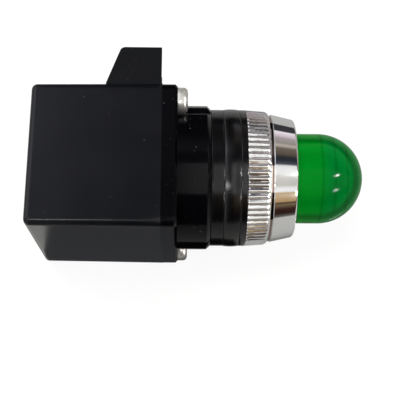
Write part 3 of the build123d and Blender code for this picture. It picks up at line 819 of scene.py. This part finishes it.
class PUSHBUTTON_OT_lens(bpy.types.Operator):
    """Mould the domed lens with the steps inside it"""

    bl_idname = "pushbutton.lens"
    bl_label = "Lens"

    def execute(self, context):
        foot_radius = LENS_HIGH.z
        outer = foot_radius - size_mm("lens_foot_width")
        inner = outer - size_mm("lens_wall")
        centre = LENS_HIGH.x - outer
        foot_front = LENS_LOW.x + size_mm("lens_foot")
        steps = context.scene.pushbutton_sizes.lens_steps
        outline = [
            (LENS_LOW.x, inner, 0),
            (LENS_LOW.x, foot_radius, FOOT_ROUND),
            (foot_front, foot_radius, FOOT_ROUND),
            (foot_front, outer, FOOT_FILLET),
        ]
        outline += quarter_arc(centre, outer, DOME_POINTS)
        pitch = LENS_STEP_SHARE * inner / steps
        outline.append((centre + steps * pitch, 0, 0))
        for i in range(steps, 0, -1):
            bore = math.sqrt(inner**2 - (i * pitch) ** 2)
            outline.append((centre + i * pitch, bore, STEP_ROUND))
            outline.append((centre + (i - 1) * pitch, bore, STEP_ROUND))
        outline.append((centre, inner, STEP_ROUND))
        bm = turned(outline, segments=160, arc_steps=4)
        finish_piece(bm, "lens_dome", "lens", "button", "green_lens", ["lens"])
        return {"FINISHED"}


class PUSHBUTTON_OT_screws(bpy.types.Operator):
    """Dress the case screws, the terminal screws and their washers"""

    bl_idname = "pushbutton.screws"
    bl_label = "Screws and washers"

    def execute(self, context):
        names = ["case_screw_1", "case_screw_2"]
        names += [f"terminal_screw_{i}" for i in range(1, 5)]
        names += [f"clamp_washer_{i}" for i in range(1, 5)]
        for name in names:
            bm = break_edges(cad_copy(name), size_mm("metal_edge"))
            finish_piece(bm, name + "_plated", "zinc", "housing", "zinc_steel", [name])
        return {"FINISHED"}


class PUSHBUTTON_OT_contacts(bpy.types.Operator):
    """Dress the terminals, the fixed contacts and the contact bridge"""

    bl_idname = "pushbutton.contacts"
    bl_label = "Terminals and contacts"

    def execute(self, context):
        edge = size_mm("metal_edge")
        for i in range(1, 5):
            bm = break_edges(cad_copy(f"terminal_{i}"), edge)
            finish_piece(bm, f"terminal_{i}_strip", "brass", "housing", "contact_brass", [f"terminal_{i}"])
        for i in (1, 2):
            bm = break_edges(cad_copy(f"fixed_contact_{i}"), edge)
            finish_piece(
                bm, f"fixed_contact_{i}_rivet", "silver", "housing", "contact_silver", [f"fixed_contact_{i}"]
            )
        bm = break_edges(cad_copy("contact_bridge"), edge)
        finish_piece(bm, "contact_bridge_bar", "brass", "contact_bar", "contact_brass", ["contact_bridge"])
        return {"FINISHED"}


class PUSHBUTTON_OT_button(bpy.types.Operator):
    """Build what slides with the lens: holder, seal, plunger and contact carrier"""

    bl_idname = "pushbutton.button"
    bl_label = "Sliding parts"

    def execute(self, context):
        edge = size_mm("edge_break")
        for name in ("lens_holder", "plunger", "contact_carrier"):
            bm = break_edges(cad_copy(name), edge)
            finish_piece(bm, name + "_moulding", "natural", "button", "inner_plastic", [name])
        bm = break_edges(cad_copy("button_seal"), SEAL_EDGE_SHARE * edge)
        finish_piece(bm, "button_seal_ring", "rubber", "button", "gasket_rubber", ["button_seal"])
        return {"FINISHED"}


# The lamp's bulb in millimetres: wall, step down to its neck, shoulder's length, rounds outside and inside
BULB_WALL = 0.5
BULB_NECK_STEP = 0.7
BULB_SHOULDER = 1.5
BULB_ROUND = 0.6
BULB_INNER_ROUND = 0.5
BULB_POINTS = 16


class PUSHBUTTON_OT_lamp(bpy.types.Operator):
    """Build the lamp and its socket"""

    bl_idname = "pushbutton.lamp"
    bl_label = "Lamp and socket"

    def execute(self, context):
        edge = size_mm("metal_edge")
        for name, finish, slot in (
            ("socket_shell", "brass", "contact_brass"),
            ("centre_contact", "brass", "contact_brass"),
            ("lamp_cap", "zinc", "zinc_steel"),
            ("socket_base", "block", "terminal_plastic"),
        ):
            bm = break_edges(cad_copy(name), edge)
            finish_piece(bm, name + "_made", finish, "housing", slot, [name])
        radius = GLASS_HIGH.z
        inner = radius - BULB_WALL
        neck = CAP_HIGH.z - BULB_NECK_STEP
        end = GLASS_HIGH.x - radius
        shoulder = GLASS_LOW.x + BULB_SHOULDER
        outline = [(GLASS_LOW.x, neck - BULB_WALL, 0), (GLASS_LOW.x, neck, 0), (shoulder, radius, BULB_ROUND)]
        outline += quarter_arc(end, radius, BULB_POINTS)
        outline += quarter_arc(end, inner, BULB_POINTS, back=True)
        outline.append((shoulder + BULB_WALL, inner, BULB_INNER_ROUND))
        bm = turned(outline, segments=96)
        finish_piece(bm, "lamp_bulb", "glass", "housing", "lamp_glass", ["lamp_glass"])
        return {"FINISHED"}


# How far the button travels, and how far it goes on once the bridge has met its contacts, in millimetres
PUSH_TRAVEL = 4.0
OVERTRAVEL = 1.0
# The springs: node, body, wire in millimetres, turns, joint that shortens it, by how much, and its fixed end
SPRINGS = [
    ("return_spring", "housing", 0.9, 4, "button_press", PUSH_TRAVEL, "rear"),
    ("carrier_spring", "housing", 0.45, 9, "button_press", PUSH_TRAVEL, "rear"),
    ("contact_spring", "button", 0.4, 6, "contact_bar_travel", OVERTRAVEL, "front"),
]
# Points round the wire, steps in a turn, and the pitch of a closed turn by the wire's thickness
WIRE_POINTS = 14
TURN_STEPS = 40
CLOSED_PITCH = 1.02


def coil_spring(low, high, wire, turns):
    """A compression spring with a closed turn at each end, wound by spinning its wire's section."""
    bm = bmesh.new()
    across = Matrix.Rotation(math.pi / 2, 4, "X")
    place = Matrix.Translation((low.x + wire / 2, 0, high.z - wire / 2)) @ across
    bmesh.ops.create_circle(bm, segments=WIRE_POINTS, radius=wire / 2, matrix=place)
    section = bm.verts[:] + bm.edges[:]
    closed_pitch = CLOSED_PITCH * wire
    open_pitch = (high.x - low.x - wire - 2 * closed_pitch) / (turns - 1)
    for pitch, share in ((closed_pitch, 1), (open_pitch, turns - 1), (closed_pitch, 1)):
        wound = bmesh.ops.spin(
            bm,
            geom=section,
            cent=(0, 0, 0),
            dvec=(pitch / TURN_STEPS, 0, 0),
            axis=(1, 0, 0),
            angle=2 * math.pi * share,
            steps=int(TURN_STEPS * share),
        )
        section = wound["geom_last"]
    ends = [e for e in bm.edges if e.is_boundary]
    bmesh.ops.holes_fill(bm, edges=ends, sides=0)
    bmesh.ops.remove_doubles(bm, verts=bm.verts, dist=MERGE)
    bmesh.ops.recalc_face_normals(bm, faces=bm.faces)
    return bm


class PUSHBUTTON_OT_springs(bpy.types.Operator):
    """Wind the three springs"""

    bl_idname = "pushbutton.springs"
    bl_label = "Springs"

    def execute(self, context):
        for node, body, wire, turns, joint, stroke, fixed_end in SPRINGS:
            low, high = span(node)
            bm = coil_spring(low, high, wire, turns)
            piece = finish_piece(bm, node + "_wire", "spring", body, "spring_steel", [node], weighted=False)
            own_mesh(piece)
        return {"FINISHED"}


# The photograph's camera, in millimetres and degrees
CAMERA_PLACE = Vector((-10.85, -64.42, 178.45))
CAMERA_TARGET = Vector((-6.53, -6.91, 0.0))
CAMERA_ROLL = 4.52
CAMERA_LENS = 75.04
SENSOR_WIDTH = 36.0

# Half length and half depth of the floor, and height of the strips over it, in millimetres
FLOOR_HALF = (1500.0, 150.0)
STRIP_LIFT = 0.05
# How the card shines as seen itself: share of its look that is glow, and the glow's strength
FLOOR_GLOW_SHARE = 0.86
FLOOR_GLOW = 1.06
# Glowing strips on the floor beside the switch, seen only in its gloss, that paint pale, grey, dark and
# bright
# reflections into it, in millimetres: name, span along X, span along Y, shade, strength
REFLECTION_STRIPS = [
    ("pale_reflection_strip", (-62.0, -44.0), (-29.0, -15.8), "#d6d6d2", 1.5),
    ("grey_reflection_strip", (-44.0, -13.5), (-29.0, -15.8), "#6a6b6e", 1.0),
    ("dark_reflection_strip", (-13.5, 1.5), (-29.0, -15.8), "#0c0c0e", 1.0),
    ("bright_reflection_strip", (24.8, 33.0), (-14.7, -14.1), "#ffffff", 8.0),
]

# What polished surfaces see of the room, by the angle from straight up towards +Y, in degrees:
# ahead of the switch, where the nose looks, and beside it, where the case, the drum and the rings look
ROOM_AHEAD = [
    (-99, "#6c6862"),
    (-91, "#2e1b16"),
    (-81, "#3a2420"),
    (-77, "#5c4a3a"),
    (-72, "#7d6b52"),
    (-68, "#2e1c12"),
    (-66, "#b8986c"),
    (-48, "#c6ac84"),
    (-45, "#ffffff"),
    (-39, "#ffffff"),
    (-33, "#d2cfc8"),
    (-14, "#dedcd6"),
    (-5, "#ffffff"),
    (5, "#f4f4f4"),
    (8, "#50545e"),
    (16, "#2a2d36"),
    (23, "#2e3036"),
    (28, "#5a5248"),
    (41, "#75695e"),
    (47, "#c8bcb2"),
    (52, "#9c958f"),
    (64, "#b0a8a8"),
    (69, "#dccbd4"),
    (74, "#ecdfe6"),
    (80, "#fffaff"),
    (81.5, "#3a3a40"),
    (99, "#38383c"),
]
ROOM_BESIDE = [
    (-90, "#050505"),
    (-45, "#0a0a0a"),
    (-25, "#2c2c2e"),
    (-5, "#6c6c70"),
    (10, "#50505a"),
    (17, "#4c4c56"),
    (27, "#a0a0aa"),
    (38, "#84848c"),
    (50, "#3a3a40"),
    (62, "#101014"),
    (90, "#060608"),
]
# Leanings of a ray along +X between which the room beside gives way to the room ahead, and those along -X
# between which a bright window starts; the window's gain on the room beside and its own light
AHEAD_FROM = 0.055
AHEAD_WHOLE = 0.1
WINDOW_FROM = -0.14
WINDOW_WHOLE = -0.3
WINDOW_GAIN = (5.0, 5.0, 5.0)
WINDOW_LIGHT = (1.0, 1.0, 1.0)
# Daylight that lights dull surfaces
DAYLIGHT = (1.0, 0.995, 0.985, 1.0)
DAYLIGHT_STRENGTH = 0.72
# Lamps round the switch, in millimetres and watts: name, place, way of its width, width, height, power, and
# whether only polished surfaces see it
LAMPS = [
    ("soft_box", (-120, 160, 520), (1, 0, 0), 420, 320, 3.4, False),
    ("tube_far", (679, -117, 714), (0.197, 0.112, -0.169), 283, 26, 12.0, True),
    ("tube_near", (656, -596, 449), (0.167, 0.164, -0.027), 236, 26, 9.0, True),
    ("side_panel", (50, -285, 742), (1, 0, 0), 130, 700, 0.42, True),
    ("edge_tube", (-220, -424, 678), (1, 0, 0), 220, 80, 1.2, True),
]


def linked_object(name, bm, material):
    """Makes a stage object from a bmesh in metres and puts it into the scene."""
    mesh = bpy.data.meshes.new(name)
    bm.to_mesh(mesh)
    bm.free()
    mesh.materials.append(material)
    piece = bpy.data.objects.new(name, mesh)
    bpy.context.scene.collection.objects.link(piece)
    return piece


def seen_itself(tree, path):
    """The share of what the eye sees itself or through the lens, apart from gloss and light."""
    return add_node(
        tree,
        "ShaderNodeMath",
        {0: path.outputs["Is Camera Ray"], 1: path.outputs["Is Transmission Ray"]},
        operation="MAXIMUM",
    ).outputs[0]


def pale_card():
    """Pale matt card: nearly white to the eye, greyer in the switch's gloss, with a faint shadow."""
    material = bpy.data.materials.new("pale_card")
    material.use_nodes = True
    tree = material.node_tree
    shader = tree.nodes["Principled BSDF"]
    shader.inputs["Roughness"].default_value = 0.7
    shader.inputs["Specular IOR Level"].default_value = 0.2
    path = add_node(tree, "ShaderNodeLightPath")
    card = add_node(
        tree,
        "ShaderNodeMix",
        {0: path.outputs["Is Glossy Ray"], 6: colour("floor"), 7: colour("table")},
        data_type="RGBA",
    )
    tree.links.new(card.outputs[2], shader.inputs["Base Color"])
    share = add_node(
        tree, "ShaderNodeMath", {0: seen_itself(tree, path), 1: FLOOR_GLOW_SHARE}, operation="MULTIPLY"
    )
    glow = add_node(tree, "ShaderNodeEmission", {"Color": WHITE, "Strength": FLOOR_GLOW})
    blend = add_node(
        tree,
        "ShaderNodeMixShader",
        {0: share.outputs[0], 1: shader.outputs["BSDF"], 2: glow.outputs["Emission"]},
    )
    tree.links.new(blend.outputs["Shader"], tree.nodes["Material Output"].inputs["Surface"])
    return material


def painted_reflection(name, shade, strength):
    """A glowing shade that takes no light, so a strip shows as a painted reflection in the switch's gloss
    just as stated.
    """
    material = bpy.data.materials.new(name)
    material.use_nodes = True
    tree = material.node_tree
    tree.nodes.remove(tree.nodes["Principled BSDF"])
    glow = add_node(tree, "ShaderNodeEmission", {"Color": paint(shade), "Strength": strength})
    tree.links.new(glow.outputs["Emission"], tree.nodes["Material Output"].inputs["Surface"])
    return material


class PUSHBUTTON_OT_stage(bpy.types.Operator):
    """Set the pale floor, the lights, the room that shines in the metal, and the camera"""

    bl_idname = "pushbutton.stage"
    bl_label = "Stage"

    def execute(self, context):
        scene = context.scene
        self.lay_floor()
        self.light_room(scene)
        self.hang_lamps(scene)
        self.place_camera(scene)
        scene.view_settings.view_transform = "Standard"
        return {"FINISHED"}

    def lay_floor(self):
        bm = bmesh.new()
        bmesh.ops.create_grid(bm, x_segments=1, y_segments=1, size=1.0)
        bmesh.ops.scale(bm, vec=(FLOOR_HALF[0] * MM, FLOOR_HALF[1] * MM, 1), verts=bm.verts)
        bmesh.ops.translate(bm, vec=(0, 0, FLOOR_Z * MM), verts=bm.verts)
        floor = linked_object("floor", bm, pale_card())
        # Painted reflections: glowing strips that only the switch's gloss sees, dark and bright
        for name, (x0, x1), (y0, y1), shade, strength in REFLECTION_STRIPS:
            bm = bmesh.new()
            corners = [(x0, y0), (x1, y0), (x1, y1), (x0, y1)]
            bm.faces.new([bm.verts.new((x * MM, y * MM, (FLOOR_Z + STRIP_LIFT) * MM)) for x, y in corners])
            strip = linked_object(name, bm, painted_reflection(name, shade, strength))
            strip.visible_camera = False
            strip.visible_diffuse = False
            strip.visible_transmission = False
            strip.visible_shadow = False

    def light_room(self, scene):
        world = bpy.data.worlds.new("pale_room")
        scene.world = world
        world.use_nodes = True
        tree = world.node_tree
        tree.nodes.clear()
        where = add_node(tree, "ShaderNodeTexCoord")
        axes = add_node(tree, "ShaderNodeSeparateXYZ", {"Vector": where.outputs["Generated"]})
        angle = add_node(
            tree, "ShaderNodeMath", {0: axes.outputs["Y"], 1: axes.outputs["Z"]}, operation="ARCTAN2"
        )
        place = add_node(
            tree,
            "ShaderNodeMapRange",
            {"Value": angle.outputs[0], "From Min": -math.pi, "From Max": math.pi},
        )
        ahead, beside = (
            add_node(
                tree,
                "ShaderNodeValToRGB",
                {"Fac": place.outputs["Result"]},
                stops=[((degrees + 180) / 360, paint(code)) for degrees, code in room],
            ).outputs["Color"]
            for room in (ROOM_AHEAD, ROOM_BESIDE)
        )
        forward = add_node(
            tree,
            "ShaderNodeMapRange",
            {"Value": axes.outputs["X"], "From Min": AHEAD_FROM, "From Max": AHEAD_WHOLE},
        )
        leftward = add_node(
            tree,
            "ShaderNodeMapRange",
            {"Value": axes.outputs["X"], "From Min": WINDOW_FROM, "From Max": WINDOW_WHOLE},
        )
        right = add_node(
            tree, "ShaderNodeMix", {0: forward.outputs["Result"], 6: beside, 7: ahead}, data_type="RGBA"
        )
        window = add_node(
            tree,
            "ShaderNodeVectorMath",
            {0: beside, 1: WINDOW_GAIN, 2: WINDOW_LIGHT},
            operation="MULTIPLY_ADD",
        )
        bright = add_node(
            tree,
            "ShaderNodeMix",
            {0: leftward.outputs["Result"], 6: right.outputs[2], 7: window.outputs["Vector"]},
            data_type="RGBA",
        )
        path = add_node(tree, "ShaderNodeLightPath")
        polished = add_node(tree, "ShaderNodeBackground", {"Color": bright.outputs[2], "Strength": 1.0})
        soft = add_node(tree, "ShaderNodeBackground", {"Color": DAYLIGHT, "Strength": DAYLIGHT_STRENGTH})
        white = add_node(tree, "ShaderNodeBackground", {"Color": WHITE, "Strength": 1.0})
        lit = add_node(
            tree,
            "ShaderNodeMixShader",
            {0: path.outputs["Is Glossy Ray"], 1: soft.outputs[0], 2: polished.outputs[0]},
        )
        shown = add_node(
            tree, "ShaderNodeMixShader", {0: seen_itself(tree, path), 1: lit.outputs[0], 2: white.outputs[0]}
        )
        add_node(tree, "ShaderNodeOutputWorld", {"Surface": shown.outputs[0]})

    def hang_lamps(self, scene):
        """Turns each lamp to the origin, with its width as near its stated way as that allows."""
        for name, place, way, width, height, power, glossy in LAMPS:
            data = bpy.data.lights.new(name, "AREA")
            data.shape = "RECTANGLE"
            data.size = width * MM
            data.size_y = height * MM
            data.energy = power
            lamp = bpy.data.objects.new(name, data)
            scene.collection.objects.link(lamp)
            away = Vector(place).normalized()
            side = (Vector(way) - away * Vector(way).dot(away)).normalized()
            turn = Matrix((side, away.cross(side), away)).transposed().to_4x4()
            lamp.matrix_world = Matrix.Translation(Vector(place) * MM) @ turn
            lamp.visible_glossy = glossy
            lamp.visible_diffuse = not glossy
            lamp.visible_transmission = False
            lamp.visible_camera = False

    def place_camera(self, scene):
        data = bpy.data.cameras.new("camera")
        data.lens = CAMERA_LENS
        data.sensor_width = SENSOR_WIDTH
        data.clip_start = 0.01
        camera = bpy.data.objects.new("camera", data)
        scene.collection.objects.link(camera)
        turn = (CAMERA_TARGET - CAMERA_PLACE).to_track_quat("-Z", "Y").to_matrix().to_4x4()
        roll = Matrix.Rotation(math.radians(CAMERA_ROLL), 4, "Z")
        camera.matrix_world = Matrix.Translation(CAMERA_PLACE * MM) @ turn @ roll
        scene.camera = camera


OPERATORS = [
    PUSHBUTTON_OT_rear_case,
    PUSHBUTTON_OT_front_body,
    PUSHBUTTON_OT_terminal_block,
    PUSHBUTTON_OT_neck_rings,
    PUSHBUTTON_OT_knurled_nut,
    PUSHBUTTON_OT_nose,
    PUSHBUTTON_OT_lens,
    PUSHBUTTON_OT_screws,
    PUSHBUTTON_OT_contacts,
    PUSHBUTTON_OT_button,
    PUSHBUTTON_OT_lamp,
    PUSHBUTTON_OT_springs,
    PUSHBUTTON_OT_stage,
]


class PUSHBUTTON_PT_panel(bpy.types.Panel):
    """Lists the steps and the values of the finish"""

    bl_idname = "PUSHBUTTON_PT_panel"
    bl_label = "Pushbutton"
    bl_space_type = "VIEW_3D"
    bl_region_type = "UI"
    bl_category = "Pushbutton"

    def draw(self, context):
        layout = self.layout
        for operator in OPERATORS:
            layout.operator(operator.bl_idname)
        for name in COLOUR_NAMES:
            layout.prop(context.scene.pushbutton_colours, name)
        for name in SIZE_NAMES:
            layout.prop(context.scene.pushbutton_sizes, name)


CLASSES = [PushbuttonColours, PushbuttonSizes, *OPERATORS, PUSHBUTTON_PT_panel]


def register():
    for item in CLASSES:
        bpy.utils.register_class(item)
    bpy.types.Scene.pushbutton_colours = bpy.props.PointerProperty(type=PushbuttonColours)
    bpy.types.Scene.pushbutton_sizes = bpy.props.PointerProperty(type=PushbuttonSizes)


def unregister():
    del bpy.types.Scene.pushbutton_sizes
    del bpy.types.Scene.pushbutton_colours
    for item in reversed(CLASSES):
        bpy.utils.unregister_class(item)


def main():
    register()
    bpy.ops.pushbutton.rear_case()
    bpy.ops.pushbutton.front_body()
    bpy.ops.pushbutton.terminal_block()
    bpy.ops.pushbutton.neck_rings()
    bpy.ops.pushbutton.knurled_nut()
    bpy.ops.pushbutton.nose()
    bpy.ops.pushbutton.lens()
    bpy.ops.pushbutton.screws()
    bpy.ops.pushbutton.contacts()
    bpy.ops.pushbutton.button()
    bpy.ops.pushbutton.lamp()
    bpy.ops.pushbutton.springs()
    bpy.ops.pushbutton.stage()


if __name__ == "__main__":
    main()
